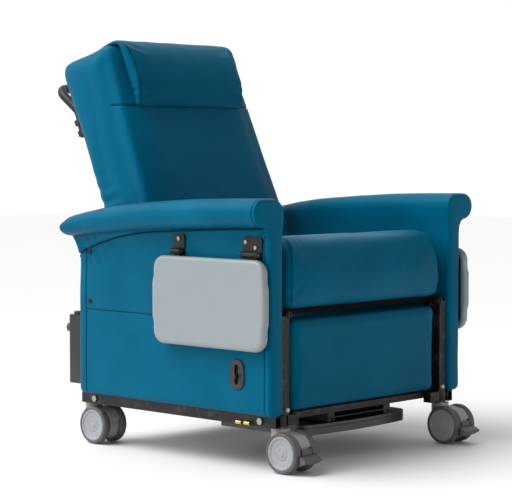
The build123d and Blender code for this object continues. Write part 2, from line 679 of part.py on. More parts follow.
WHEEL_X = (18.5, 41.0)
HOOD_HALF = 14.0
for place, stem_y in STEM_Y.items():
    for name, s in SIDES.items():
        x = s * STEM_X
        axle = (stem_y - CASTER_OFFSET, WHEEL_R)
        label = f"caster_{place}_{name}"

        with BuildPart() as hood:
            with BuildSketch(plan(54)):
                with Locations((x, stem_y)):
                    Circle(23)
            extrude(amount=RAIL_Z - 2.5 - 54)
            both_wheels(x, axle, WHEEL_R + 1.5, 17.2, 60, mode=Mode.SUBTRACT)
            with BuildSketch(side(x - HOOD_HALF)):
                with Locations(axle):
                    Circle(44)
                with Locations((axle[0], -2)):
                    Rectangle(120, 44, mode=Mode.SUBTRACT)
            extrude(amount=2 * HOOD_HALF)
            band(x - 17.2, x + 17.2, axle, 43, 48.5, 40, 160)
            rod(x - 50, x + 50, axle, AXLE_R + RUNNING, mode=Mode.SUBTRACT)
            with BuildSketch(plan(STEM_FOOT)):
                with Locations((x, stem_y)):
                    Circle(STEM_R + RUNNING)
            extrude(amount=60, mode=Mode.SUBTRACT)
        write(hood, f"{label}_hood")

        with BuildPart() as wheels:
            both_wheels(x, axle, DISC_R, *WHEEL_X)
            both_wheels(x, axle, DISC_R - 5, WHEEL_X[1] - 2.5, WHEEL_X[1], mode=Mode.SUBTRACT)
            both_wheels(x, axle, 24, WHEEL_X[1] - 3, WHEEL_X[1] - 1)
            both_wheels(x, axle, 12, WHEEL_X[1] - 3, WHEEL_X[1])
            rod(x - WHEEL_X[0], x + WHEEL_X[0], axle, AXLE_R)
        write(wheels, f"{label}_wheels")

        with BuildPart() as tyres:
            both_wheels(x, axle, WHEEL_R, *WHEEL_X)
            shoulders = tyres.edges().filter_by(GeomType.CIRCLE)
            fillet(shoulders, 4)
            both_wheels(x, axle, DISC_R, WHEEL_X[0], WHEEL_X[1] + 1, mode=Mode.SUBTRACT)
        write(tyres, f"{label}_tyres")

        if place == "front":
            with BuildPart() as pedal:
                for cheek in (-1, 1):
                    x0 = x + cheek * (HOOD_HALF + 0.4)
                    band(x0, x0 + cheek * 2.6, axle, 0, 49.5, 166, 216)
                    rod(x0, x0 + cheek * 2.6, axle, 9)
                band(x - 17, x + 17, axle, 44.6, 49.5, 166, 216)
                foot = [(-47, -6), (-53.5, -3), (-70, -11), (-71, -16), (-54, -25), (-46, -17)]
                plate(x - 17, x + 17, [(axle[0] + u, axle[1] + v) for u, v in foot])
                wide = [(-53.5, -3), (-70, -11), (-71, -16), (-54, -25)]
                plate(x - 31, x + 31, [(axle[0] + u, axle[1] + v) for u, v in wide])
                rod(x - 20, x + 20, axle, AXLE_R + RUNNING, mode=Mode.SUBTRACT)
            write(pedal, f"brake_pedal_{name}")
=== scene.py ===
from math import cos, exp, pi, radians, sin, sqrt

import bmesh
import bpy
import numpy as np
from mathutils import Matrix, Vector, noise


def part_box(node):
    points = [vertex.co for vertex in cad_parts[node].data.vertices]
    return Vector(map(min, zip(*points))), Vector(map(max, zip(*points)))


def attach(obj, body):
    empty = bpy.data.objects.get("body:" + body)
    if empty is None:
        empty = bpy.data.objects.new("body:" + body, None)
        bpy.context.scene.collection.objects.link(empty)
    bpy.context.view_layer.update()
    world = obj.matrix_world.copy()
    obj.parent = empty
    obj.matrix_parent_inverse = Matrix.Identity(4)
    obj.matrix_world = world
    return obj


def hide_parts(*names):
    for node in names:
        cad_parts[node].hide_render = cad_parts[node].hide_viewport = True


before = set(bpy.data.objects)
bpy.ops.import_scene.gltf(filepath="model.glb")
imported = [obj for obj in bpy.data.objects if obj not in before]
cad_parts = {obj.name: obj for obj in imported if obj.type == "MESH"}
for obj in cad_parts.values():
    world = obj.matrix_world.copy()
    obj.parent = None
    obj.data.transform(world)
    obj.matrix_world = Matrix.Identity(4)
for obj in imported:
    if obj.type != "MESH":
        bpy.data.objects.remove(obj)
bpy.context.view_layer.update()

# ---------------------------------------------------------------------------
# Studio: a plain pale floor with no edge in sight, soft light from large panels
# overhead and on the chair's right, and a long lens at seated eye height.
FLOOR_HALF = 14.0
LENS_MM = 129.1
VIEW_AZIMUTH = radians(-46.8)
VIEW_DROP = radians(3.1)
EYE = (-3.559, -3.393, 0.774)


def box_centre(*nodes):
    corners = np.array([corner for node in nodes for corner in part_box(node)])
    return (corners.min(axis=0) + corners.max(axis=0)) / 2


def add_camera():
    lens = bpy.data.cameras.new("camera")
    lens.lens = LENS_MM
    lens.sensor_width = 36.0
    lens.shift_x = -0.005
    lens.clip_end = 60.0
    camera = bpy.data.objects.new("camera", lens)
    camera.location = EYE
    camera.rotation_euler = (pi / 2 - VIEW_DROP, 0, VIEW_AZIMUTH)
    bpy.context.collection.objects.link(camera)
    bpy.context.scene.camera = camera


def add_panel_light(name, place, aim, size, power, tint=(1, 1, 1)):
    light = bpy.data.lights.new(name, "AREA")
    light.shape = "RECTANGLE"
    light.size, light.size_y = size
    light.energy = power
    light.color = tint
    lamp = bpy.data.objects.new(name, light)
    lamp.location = place
    lamp.rotation_euler = (Vector(aim) - Vector(place)).to_track_quat("-Z", "Y").to_euler()
    bpy.context.collection.objects.link(lamp)


def add_floor():
    mesh = bpy.data.meshes.new("floor")
    corners = [(sx * FLOOR_HALF, sy * FLOOR_HALF, 0) for sx, sy in ((-1, -1), (1, -1), (1, 1), (-1, 1))]
    mesh.from_pydata(corners, [], [(0, 1, 2, 3)])
    floor = bpy.data.objects.new("floor", mesh)
    bpy.context.collection.objects.link(floor)
    paint = bpy.data.materials.new("floor_paint")
    paint.use_nodes = True
    surface = paint.node_tree.nodes["Principled BSDF"]
    surface.inputs["Base Color"].default_value = (0.80, 0.797, 0.793, 1)
    surface.inputs["Roughness"].default_value = 0.7
    mesh.materials.append(paint)


add_camera()
add_floor()
add_panel_light("overhead_panel", (-1.8, 1.0, 3.2), (0, 0, 0.5), (2.4, 2.4), 38)
add_panel_light("right_panel", (-4.2, 0.4, 1.5), (0, 0, 0.4), (2.2, 2.2), 46)
add_panel_light("front_panel", (0.6, -4.4, 0.7), (0, 0, 0.3), (2.6, 1.2), 20)


def add_sun(name, direction, strength, spread):
    sun = bpy.data.lights.new(name, "SUN")
    sun.energy = strength
    sun.angle = radians(spread)
    lamp = bpy.data.objects.new(name, sun)
    lamp.rotation_euler = Vector(direction).to_track_quat("-Z", "Y").to_euler()
    bpy.context.collection.objects.link(lamp)


add_sun("soft_key", (0.55, -0.45, -1.0), 2.2, 50)


def studio_sky():
    """White behind the chair, where the camera looks, and dimmer in front of it."""
    sky = bpy.data.worlds.new("studio")
    sky.use_nodes = True
    tree = sky.node_tree
    ways = tree.nodes.new("ShaderNodeTexCoord")
    turn = tree.nodes.new("ShaderNodeVectorMath")
    turn.operation = "DOT_PRODUCT"
    turn.inputs[1].default_value = (0.30, 0.95, -0.1)
    ramp = tree.nodes.new("ShaderNodeMapRange")
    ramp.interpolation_type = "SMOOTHSTEP"
    ramp.inputs["From Min"].default_value = -0.55
    ramp.inputs["From Max"].default_value = 0.55
    ramp.inputs["To Min"].default_value = 0.22
    ramp.inputs["To Max"].default_value = 1.06
    glow = tree.nodes["Background"]
    glow.inputs["Color"].default_value = (1, 1, 1, 1)
    tree.links.new(ways.outputs["Generated"], turn.inputs[0])
    tree.links.new(turn.outputs["Value"], ramp.inputs["Value"])
    tree.links.new(ramp.outputs["Result"], glow.inputs["Strength"])
    bpy.context.scene.world = sky


studio_sky()
bpy.context.scene.view_settings.view_transform = "Standard"

# ---------------------------------------------------------------------------
# Base frame: rectangular steel tubes, caster sockets, front posts and pivot
# brackets, welded and powder coated black.  The coat has a fine orange peel
# and rubs thin on its edges.
BLACK_COAT = (0.0075, 0.0062, 0.0062, 1)
RUBBED_COAT = (0.035, 0.031, 0.029, 1)


class Value:
    """A shader socket that is used in sums like a number."""

    def __init__(self, finish, socket):
        self.finish = finish
        self.socket = socket

    def math(self, operation, *others):
        return self.finish.node("Math", {"operation": operation}, dict(enumerate((self, *others))))

    def __add__(self, other):
        return self.math("ADD", other)

    def __sub__(self, other):
        return self.math("SUBTRACT", other)

    def __rsub__(self, other):
        return self.math("MULTIPLY", -1.0) + other

    def __mul__(self, other):
        return self.math("MULTIPLY", other)

    def __truediv__(self, other):
        return self.math("DIVIDE", other)

    __radd__ = __add__
    __rmul__ = __mul__


class Finish:
    """A procedural material around one Principled shader."""

    def __init__(self, name, **constants):
        self.material = bpy.data.materials.new(name)
        self.material.use_nodes = True
        self.tree = self.material.node_tree
        self.surface = self.tree.nodes["Principled BSDF"]
        for socket, value in constants.items():
            self.surface.inputs[socket.replace("_", " ")].default_value = value

    def node(self, kind, settings=(), sockets=(), output=0):
        node = self.tree.nodes.new("ShaderNode" + kind)
        for name, value in dict(settings).items():
            if name == "stops":
                ramp = node.color_ramp
                while len(ramp.elements) < len(value):
                    ramp.elements.new(0.5)
                for element, (at, colour) in zip(ramp.elements, value):
                    element.position = at
                    element.color = colour
            else:
                setattr(node, name, value)
        for name, value in dict(sockets).items():
            self.feed(node.inputs[name], value)
        return Value(self, node.outputs[output])

    def feed(self, socket, value):
        if isinstance(value, Value):
            self.tree.links.new(value.socket, socket)
        else:
            socket.default_value = value

    def set(self, **sockets):
        for name, value in sockets.items():
            self.feed(self.surface.inputs[name.replace("_", " ")], value)

    def place(self):
        return self.node("TexCoord", output="Object")

    def noise(self, scale, detail=3.0, roughness=0.5, stretch=None):
        at = self.place()
        if stretch:
            at = self.node("Mapping", {}, {"Vector": at, "Scale": stretch})
        return self.node("TexNoise", {}, {"Vector": at, "Scale": scale, "Detail": detail,
                                          "Roughness": roughness})

    def mix(self, amount, first, second):
        return self.node("Mix", {"data_type": "RGBA"}, {"Factor": amount, 6: first, 7: second}, output=2)

    def band(self, value, low, high):
        """0 below low, 1 above high, a straight ramp between."""
        return self.node("MapRange", {}, {"Value": value, "From Min": low, "From Max": high})

    def bump(self, height, distance, strength=1.0, under=None):
        sockets = {"Height": height, "Distance": distance, "Strength": strength}
        if under:
            sockets["Normal"] = under
        return self.node("Bump", {}, sockets)


def powder_coat():
    coat = Finish("black_powder_coat", Specular_IOR_Level=0.32)
    edges = coat.band(coat.node("NewGeometry", output="Pointiness"), 0.53, 0.6)
    scuff = coat.band(coat.noise(38, 5, 0.6), 0.5, 0.62)
    coat.set(Base_Color=coat.mix(edges * scuff, BLACK_COAT, RUBBED_COAT),
             Roughness=0.36 + 0.2 * coat.noise(90, 2),
             Normal=coat.bump(coat.noise(900, 2), 0.0002, 0.5))
    return coat.material


def coat_nodes(material, *names):
    for name in names:
        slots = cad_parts[name].material_slots
        for slot in slots:
            slot.material = material


black_coat = powder_coat()
coat_nodes(black_coat, "side_rail_left", "side_rail_right", "front_crossbar", "middle_crossbar",
           "rear_crossbar", "caster_sockets", "front_posts", "table_brackets", "back_uprights",
           "back_crossbars", "back_brackets", "push_handle", "handle_clamps", "leg_rest_arms",
           "tray_runners", "tray_slides", "gas_spring_cylinder", "table_leaves_left",
           "table_leaves_right")

# ---------------------------------------------------------------------------
# Arms: plywood boards under foam, covered in coated vinyl.  A keyhole-shaped
# front strip is sewn to the side panel and to the roll, which tucks in under
# itself; the side panel is sewn from a deep upper and lower half and a rear strip.
MM = 0.001
FRONT_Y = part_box("arm_right")[0].y
TEAL = (0.0001, 0.082, 0.152, 1)
TEAL_WORN = (0.0002, 0.103, 0.186, 1)
# Darker teal painted into the cover's creases as shade.
TEAL_CREASE_SHADE = (0.0001, 0.040, 0.080, 1)
TEAL_SHEEN = (0.0, 0.55, 0.80, 1)
# Near-black painted shade for the seam grooves and folds of the cover.
SEAM_SHADE = (0.0, 0.010, 0.022, 1)
STRIP_SEAM = 19.0
ROLL_SEAM_SHIFT = 8.0
REAR_SEAM = 658.0
PANEL_SEAM = 359.0


def along(value, *knots):
    places, heights = zip(*knots)
    return float(np.interp(value, places, heights))


def smooth_line(points, count, closed=False):
    """A Catmull-Rom line through the points, cut into equal lengths."""
    points = np.array(points, float)
    n = len(points)
    spans = n if closed else n - 1
    fine = []
    for i in range(spans):
        if closed:
            a, b, c, d = (points[(i + k) % n] for k in (-1, 0, 1, 2))
        else:
            a, b, c, d = (points[min(max(i + k, 0), n - 1)] for k in (-1, 0, 1, 2))
        for t in np.linspace(0, 1, 24, endpoint=False):
            fine.append(0.5 * (2 * b + (c - a) * t + (2 * a - 5 * b + 4 * c - d) * t * t
                               + (3 * b - a - 3 * c + d) * t ** 3))
    fine.append(points[0] if closed else points[-1])
    fine = np.array(fine)
    run = np.concatenate([[0], np.cumsum(np.linalg.norm(np.diff(fine, axis=0), axis=1))])
    stops = np.linspace(0, run[-1], count + 1)[:-1] if closed else np.linspace(0, run[-1], count)
    return np.stack([np.interp(stops, run, fine[:, k]) for k in range(fine.shape[1])], axis=1)


def inset(loop, amount):
    """A closed flat loop moved inwards by amount."""
    ahead = np.roll(loop, -1, axis=0) - np.roll(loop, 1, axis=0)
    normal = np.stack([ahead[:, 1], -ahead[:, 0]], axis=1)
    normal /= np.maximum(np.linalg.norm(normal, axis=1, keepdims=True), 1e-9)
    x, y = loop[:, 0], loop[:, 1]
    turn = np.sign(np.sum(x * np.roll(y, -1) - y * np.roll(x, -1)))
    return loop - turn * normal * amount


def new_piece(name, mesh, material):
    piece = bpy.data.objects.new(name, mesh)
    bpy.context.collection.objects.link(piece)
    if material:
        mesh.materials.clear()
        mesh.materials.append(material)
    return piece


def shade(mesh, smooth=True):
    mesh.polygons.foreach_set("use_smooth", [smooth] * len(mesh.polygons))


def loft(name, rings, material=None, caps=True):
    """A closed skin over a run of closed rings, given in millimetres from the front of the arms."""
    rings = np.array(rings, float)
    count, around = rings.shape[:2]
    points = rings.reshape(-1, 3) * MM
    points[:, 1] += FRONT_Y
    faces = []
    for i in range(count - 1):
        for j in range(around):
            k = (j + 1) % around
            faces.append((i * around + j, i * around + k, (i + 1) * around + k, (i + 1) * around + j))
    if caps:
        faces.append(tuple(range(around)))
        faces.append(tuple(range((count - 1) * around, count * around)))
    mesh = bpy.data.meshes.new(name)
    mesh.from_pydata([tuple(p) for p in points], [], faces)
    shell = bmesh.new()
    shell.from_mesh(mesh)
    bmesh.ops.remove_doubles(shell, verts=shell.verts, dist=1e-6)
    bmesh.ops.recalc_face_normals(shell, faces=shell.faces)
    shell.to_mesh(mesh)
    shell.free()
    shade(mesh)
    return new_piece(name, mesh, material)


def move_along_normals(piece, amounts):
    mesh = piece.data
    spots = np.zeros(len(mesh.vertices) * 3)
    normals = np.zeros(len(mesh.vertices) * 3)
    mesh.vertices.foreach_get("co", spots)
    mesh.vertex_normals.foreach_get("vector", normals)
    spots = spots.reshape(-1, 3) + normals.reshape(-1, 3) * np.asarray(amounts)[:, None]
    mesh.vertices.foreach_set("co", spots.ravel())
    mesh.update()


def spots_mm(piece):
    """A piece's points in millimetres, measured from the front of the arms."""
    spots = np.zeros(len(piece.data.vertices) * 3)
    piece.data.vertices.foreach_get("co", spots)
    spots = spots.reshape(-1, 3) / MM
    spots[:, 1] -= FRONT_Y / MM
    return spots


def ridge(distance, width):
    return np.exp(-(distance / width) ** 2)


def paint_seam_shade(piece, amounts):
    """Keeps how near each point is to a seam or fold, for the painted shade that darkens the cover there."""
    lines = piece.data.attributes.new("seam", "FLOAT", "POINT")
    lines.data.foreach_set("value", np.clip(amounts, 0, 1).astype(np.float32))


def vinyl_cover():
    cover = Finish("teal_vinyl", Specular_IOR_Level=0.12, Specular_Tint=TEAL_SHEEN)
    # Concave creases are darkened with painted shade; convex edges lighten with wear.
    crease_shade = cover.band(cover.node("NewGeometry", output="Pointiness"), 0.42, 0.5)
    wear = cover.band(cover.node("NewGeometry", output="Pointiness"), 0.52, 0.58)
    tone = cover.noise(7, 4, 0.55)
    colour = cover.mix(cover.band(tone, 0.3, 0.7), TEAL, TEAL_WORN)
    colour = cover.mix(wear * 0.35, colour, TEAL_WORN)
    colour = cover.mix(crease_shade, TEAL_CREASE_SHADE, colour)
    # The seam attribute darkens the cover with painted shade along its seam grooves and folds.
    seams = cover.node("Attribute", {"attribute_name": "seam"}, output=2)
    colour = cover.mix(seams, colour, SEAM_SHADE)
    grain = cover.node("TexVoronoi", {"feature": "DISTANCE_TO_EDGE"},
                       {"Vector": cover.place(), "Scale": 620.0, "Randomness": 1.0})
    pores = cover.band(grain, 0.0, 0.22)
    mottle = cover.noise(140, 3, 0.6)
    cover.set(Base_Color=colour, Roughness=0.36 + 0.14 * mottle + 0.05 * tone,
              Normal=cover.bump(pores, 0.00025, 0.16, cover.bump(cover.noise(26, 4), 0.0016, 0.12)))
    return cover.material


vinyl = vinyl_cover()


ROLL_LOW = ((0, 591), (120, 588.5), (240, 583), (421, 574), (483, 569), (600, 558), (714, 547))
ROLL_SEAM = ((0, 587), (120, 584), (240, 578), (421, 568), (483, 560), (540, 550), (600, 534), (650, 517),
             (690, 499), (714, 492))


def curve(values, line):
    places, heights = zip(*line)
    return np.interp(values, places, heights)


def roll_top(y):
    return along(y, (0, 657.5), (20, 659.5), (120, 658), (240, 654), (340, 648.5), (420, 642.5), (483, 637),
                 (560, 627), (620, 616), (660, 607), (690, 598), (714, 586))


def roll_low(y):
    return along(y, *ROLL_LOW)


def roll_seam(y):
    return along(y, *ROLL_SEAM)


def arm_rear(z):
    return along(z, (135, 690), (500, 690), (513, 691), (527, 696), (540, 703), (552, 710), (565, 714),
                 (575, 713), (583, 708), (590, 700))


def arm_section(y):
    """The arm's outline at one depth, from the inner lower corner up, over the roll and down outside."""
    top, low, seam = roll_top(y), roll_low(y), roll_seam(y)
    middle, half = (top + low) / 2, (top - low) / 2
    reach = along(y, (0, 35), (60, 36), (600, 35), (714, 31))
    loop = [(325 + 13 * (1 - sin(a)), 148 - 13 * cos(a)) for a in np.linspace(0, pi / 2, 6)]
    loop += [(325, z) for z in np.linspace(151, top - 78, 26)]
    loop += [(325 - 3 * sin((z - top + 78) / 42 * pi / 2), z) for z in np.linspace(top - 72, top - 36, 6)]
    loop += [(358 - 36 * cos(a), top - 34 + 33.5 * sin(a)) for a in np.linspace(0.08, pi / 2, 14)]
    loop += [(x, top - 0.5 + 0.5 * sin((x - 358) / 34 * pi / 2)) for x in np.linspace(364, 387, 5)]
    loop += [(392 + reach * cos(a), middle + half * sin(a)) for a in np.linspace(pi / 2, -pi / 2, 26)]
    tuck = smooth_line([(392, low), (383, low - 0.6), (375.5, min(low - 1.2, seam + 4))], 5)[1:]
    groove = [(373.8, 2.4), (372.8, 1.0), (369.0, 0), (371.2, -1.2), (371.0, -2.6), (370.2, -7)]
    under = [tuple(p) for p in tuck] + [(x, seam + d) for x, d in groove]
    fall = smooth_line([(370.2, seam - 7), (369.2, seam - 26), (370.6, seam - 52), (372, seam - 84)], 12)
    under = np.array(under + [tuple(p) for p in fall[1:]])
    fillet = smooth_line([(392, low), (383.5, low - 4.5), (376.5, low - 14), (372.6, low - 30),
                          (372, low - 86)],
                         len(under) + 1)[1:]
    front = float(np.clip((STRIP_SEAM + 1.5 - y) / 3, 0, 1))
    loop += [tuple(p) for p in under * (1 - front) + fillet * front]
    loop += [(372, z) for z in np.linspace(seam - 86, PANEL_SEAM + 5, 14)]
    loop += [(372, PANEL_SEAM + d) for d in (3, 1.5, 0, -1.5, -3)]
    loop += [(372, z) for z in np.linspace(PANEL_SEAM - 5, 155, 24)]
    loop += [(356 + 16 * cos(a), 151 - 16 * sin(a)) for a in np.linspace(0, pi / 2, 6)]
    loop += [(x, 135) for x in (350, 344)]
    return np.array(loop)


def arm_stations():
    steps = set(np.linspace(11, 676, 116))
    for seam in (STRIP_SEAM, REAR_SEAM):
        steps = ({s for s in steps if abs(s - seam) > 4.5}
                 | {seam + d for d in (-4, -2.4, -1.2, 0, 1.2, 2.4, 4)})
    return sorted(steps)


def arm_rings(side):
    rings = []
    front = [(10 * (1 - sin(a)), 10 * (1 - cos(a))) for a in np.linspace(pi / 2, 0, 7)]
    for y, depth in front:
        rings.append((y, inset(arm_section(max(y, 0)), depth)))
    rings += [(y, arm_section(y)) for y in arm_stations()]
    for a in np.linspace(0.15, pi / 2, 7):
        rings.append((676 + 14 * sin(a), inset(arm_section(676 + 14 * sin(a)), 12 * (1 - cos(a)))))
    placed = []
    for y, loop in rings:
        stretch = np.array([1 + (arm_rear(z) / 690 - 1) * max(0, (y - 560) / 130) ** 1.5 for z in loop[:, 1]])
        # The strip's seam runs nearer the front round the roll than down the side panel.
        on_roll = np.clip((loop[:, 1] - roll_low(y) + 22) / 24, 0, 1)
        pull = ROLL_SEAM_SHIFT * on_roll * along(y, (0, 0), (10, 0.55), (STRIP_SEAM, 1), (90, 0))
        placed.append(np.stack([side * loop[:, 0], y * stretch - pull, loop[:, 1]], axis=1))
    return placed


def make_arm(side, name):
    arm = loft(f"arm_upholstery_{name}", arm_rings(side), vinyl)
    spots = spots_mm(arm)
    u, y, z = side * spots[:, 0], spots[:, 1], spots[:, 2]
    outside = u > 366
    on_roll = np.clip((z - curve(y, ROLL_LOW) + 22) / 24, 0, 1)
    strip = STRIP_SEAM - ROLL_SEAM_SHIFT * on_roll
    seam = curve(y, ROLL_SEAM)
    below = outside & (z < seam + 2)
    strip_line = ridge(y - strip, 1.3) * (u > 345)
    # The tuck line only darkens the cover: painted shadow under the roll's lower edge.
    tuck_shadow_line = ridge(z - seam, 2.4) * outside * (u < 375) * (y > STRIP_SEAM)
    rear_line = ridge(y - REAR_SEAM, 1.3) * below * outside
    panel_line = ridge(z - PANEL_SEAM, 1.4) * outside * (y > STRIP_SEAM) * (y < REAR_SEAM)
    push = -1.5 * strip_line - 1.9 * rear_line - 1.7 * panel_line
    crown = np.sin(np.clip((y - STRIP_SEAM) / (REAR_SEAM - STRIP_SEAM), 0, 1) * pi) ** 0.5
    push += 1.3 * crown * below * np.clip(np.abs(z - PANEL_SEAM) / 40, 0, 1) * np.clip((seam - z) / 40, 0, 1)
    gathers = ridge(y - 20, 20) * ridge(z - 572, 17) * outside
    folds = np.sin(z * 0.62 - y * 0.16 + 0.8)
    push += 2.6 * gathers * folds
    puckers = ridge(z - seam, 26) * outside * (y > STRIP_SEAM)
    ripple = np.array([noise.noise((py / 26, pz / 60, 3.1 * side)) for py, pz in zip(y, z)])
    ease = np.array([noise.noise((px / 90, py / 110, pz / 90)) for px, py, pz in zip(u, y, z)])
    push += 1.3 * puckers * ripple + 1.1 * ease
    drag = ridge(z - 520, 46) * ridge(y - 640, 60) * outside
    push += 0.9 * drag * np.sin(y * 0.16 - z * 0.11)
    move_along_normals(arm, push * MM)
    # Painted shade along the seams, under the roll and in the troughs of the gathers.
    paint_seam_shade(arm, 0.8 * strip_line + 1.0 * tuck_shadow_line + 0.9 * rear_line + 0.9 * panel_line
               + 0.7 * gathers * np.clip(-folds - 0.5, 0, 1))
    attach(arm, "base")
    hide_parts(f"arm_{name}")
    return arm


for side, name in ((-1, "right"), (1, "left")):
    make_arm(side, name)

# ---------------------------------------------------------------------------
# Seat cushion: a deep foam bolster over the pan, boxed in vinyl.  It is pulled
# in at the sides towards its crest, and lies free between the arms.
CUSHION_STEPS = 20
RELAX_STEPS = 9


def inflate(piece, voxel, cap, held=None, pressure=4.0, limit=None):
    """Fills a closed cover with air for a moment: it crowns between its edges, by cap at most."""
    remesh = piece.modifiers.new("even_mesh", "REMESH")
    remesh.mode = "VOXEL"
    remesh.voxel_size = voxel
    remesh.use_smooth_shade = True
    settle(piece)
    rest = spots_mm(piece)
    pins = piece.vertex_groups.new(name="held")
    if held is not None:
        pins.add([int(i) for i in np.flatnonzero(held(rest))], 1.0, "REPLACE")
    cloth = piece.modifiers.new("cloth", "CLOTH")
    cloth.settings.vertex_group_mass = "held"
    cloth.settings.use_pressure = True
    cloth.settings.uniform_pressure_force = pressure
    cloth.settings.effector_weights.gravity = 0
    cloth.settings.tension_stiffness = 12
    cloth.settings.compression_stiffness = 12
    cloth.settings.bending_stiffness = 1.5
    cloth.point_cache.frame_start = 1
    cloth.point_cache.frame_end = CUSHION_STEPS
    scene = bpy.context.scene
    for step in range(1, CUSHION_STEPS + 1):
        scene.frame_set(step)
    settle(piece)
    scene.frame_set(1)
    blown = spots_mm(piece)
    shift = blown - rest
    length = np.linalg.norm(shift, axis=1, keepdims=True)
    shift *= cap * np.tanh(length / cap) / np.maximum(length, 1e-6)
    set_spots(piece, rest + shift)
    if limit is not None:
        set_spots(piece, limit(spots_mm(piece)))
    relax = piece.modifiers.new("relax", "SMOOTH")
    relax.factor = 0.5
    relax.iterations = RELAX_STEPS
    smooth = piece.modifiers.new("smooth", "SUBSURF")
    smooth.levels = smooth.render_levels = 1
    settle(piece)
    piece.vertex_groups.clear()
    shade(piece.data)


def settle(piece):
    """Makes the piece's modifiers part of its mesh."""
    bpy.context.view_layer.update()
    seen = piece.evaluated_get(bpy.context.evaluated_depsgraph_get())
    mesh = bpy.data.meshes.new_from_object(seen, preserve_all_data_layers=True,
                                           depsgraph=bpy.context.evaluated_depsgraph_get())
    mesh.name = piece.name
    old = piece.data
    piece.modifiers.clear()
    piece.data = mesh
    bpy.data.meshes.remove(old)


def set_spots(piece, spots):
    spots = np.array(spots)
    spots[:, 1] += FRONT_Y / MM
    piece.data.vertices.foreach_set("co", (spots * MM).ravel())
    piece.data.update()


def across(outline, half, edge, steps=36):
    """Rings across the chair: the outline (depth, height) at each width, rounded in at both sides."""
    rounding = [(edge * (1 - sin(a)), edge * (1 - cos(a))) for a in np.linspace(pi / 2, 0, 7)]
    rings = [(-1, gap, inset(outline, depth)) for gap, depth in rounding]
    rings += [(share, edge, outline) for share in np.linspace(-1, 1, steps)[1:-1]]
    rings += [(1, gap, inset(outline, depth)) for gap, depth in rounding[::-1]]
    return [np.stack([[share * (half(z) - gap) for z in loop[:, 1]], loop[:, 0], loop[:, 1]], axis=1)
            for share, gap, loop in rings]


def finish_padding(piece, body, fill, *nodes, slot="vinyl"):
    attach(piece, body)
    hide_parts(*nodes)


def ease_field(spots, scale, seed=0.0):
    return np.array([noise.noise((x / scale, y / scale, z / scale + seed)) for x, y, z in spots])


seat_line = [(20, 391), (11, 408), (8, 435), (7, 470), (9, 505), (15, 533), (27, 552), (42, 560.5), (62, 562),
             (100, 559), (170, 553), (300, 545), (420, 537), (476, 531), (484, 520), (478, 480), (466, 430),
             (456, 394), (440, 390.5), (300, 390.5), (160, 390.5), (60, 390.5)]
seat = loft("seat_upholstery",
            across(smooth_line(seat_line, 150, closed=True),
                   lambda z: along(z, (389, 296), (440, 302), (520, 294), (566, 280)), 15), vinyl)


def limit_seat(spots):
    spots[:, 1] = np.maximum(spots[:, 1], 1.5)
    top = np.interp(spots[:, 1], (0, 30, 60, 120, 250, 490), (552, 563, 565, 560, 551, 536))
    spots[:, 2] = np.clip(spots[:, 2], 389.6, top)
    spots[:, 0] = np.clip(spots[:, 0], -306, 306)
    return spots


inflate(seat, 0.006, 7, held=lambda p: p[:, 2] < 396, limit=limit_seat)


def crease_seat():
    """Pulls the box seams in and lets the cover drag towards the corners."""
    spots = spots_mm(seat)
    x, y, z = spots.T
    half = np.interp(z, (389, 440, 520, 566), (296, 302, 294, 280))
    side_seam = ridge(np.abs(x) - half + 13, 2.6) * (y < 60)
    ends = np.clip((np.abs(x) - 190) / 90, 0, 1)
    drag = ends * ridge(y - 16, 30) * ridge(z - 425, 70) * np.sin(np.abs(x) * 0.11 + z * 0.16)
    crease = ends * ridge(z - 548, 14) * ridge(y - 30, 26) * np.sin(np.abs(x) * 0.24)
    top = (z > 520) * ease_field(spots, 120, 4.0)
    push = -1.2 * side_seam + 0.9 * drag + 0.5 * crease + 1.2 * top + 0.7 * ease_field(spots, 90, 9.0)
    move_along_normals(seat, push * MM)
    # Painted shade along the side seams.
    paint_seam_shade(seat, 0.55 * side_seam)


crease_seat()
finish_padding(seat, "base", 0.8, "seat_cushion")

# ---------------------------------------------------------------------------
# Leg rest: a flat foam pad on a board, hung from the front edge of the seat.
# The cover is drawn tight over its rounded upper corners and tacked behind.


def rounded_panel(half_low, half_high, low, high, corner):
    """A panel's outline (across, height), with rounded corners and a slight taper."""
    points = []
    for sx, sz, start in ((1, -1, -pi / 2), (1, 1, 0), (-1, 1, pi / 2), (-1, -1, pi)):
        half = half_high if sz > 0 else half_low
        height = high if sz > 0 else low
        for a in np.linspace(start, start + pi / 2, 9):
            points.append((sx * (half - corner) + corner * cos(a), height - sz * corner + corner * sin(a)))
    dense = []
    for i, point in enumerate(points):
        after = points[(i + 1) % len(points)]
        gap = sqrt((after[0] - point[0]) ** 2 + (after[1] - point[1]) ** 2)
        for t in np.linspace(0, 1, max(2, int(gap / 8)), endpoint=False):
            dense.append((point[0] + (after[0] - point[0]) * t, point[1] + (after[1] - point[1]) * t))
    return np.array(dense)


def deep_panel(outline, front, back, front_round, back_round):
    """Rings from front to back of a panel with rounded edges."""
    rings = [(front - 0.4 * front_round / 10, front_round * 2.2)] if front_round > 8 else []
    rings += [(front + front_round * (1 - sin(a)), front_round * (1 - cos(a)))
              for a in np.linspace(pi / 2, 0, 6)]
    rings += [(y, 0) for y in np.linspace(front + front_round, back - back_round, 6)[1:-1]]
    rings += [(back - back_round * (1 - sin(a)), back_round * (1 - cos(a)))
              for a in np.linspace(0, pi / 2, 5)]
    return [np.stack([loop[:, 0], np.full(len(loop), y), loop[:, 1]], axis=1)
            for y, loop in ((y, inset(outline, depth)) for y, depth in rings)]


leg_pad = loft("leg_rest_upholstery",
               deep_panel(rounded_panel(282, 285, 136, 368, 24), 12.5, 57.6, 12, 3), vinyl)


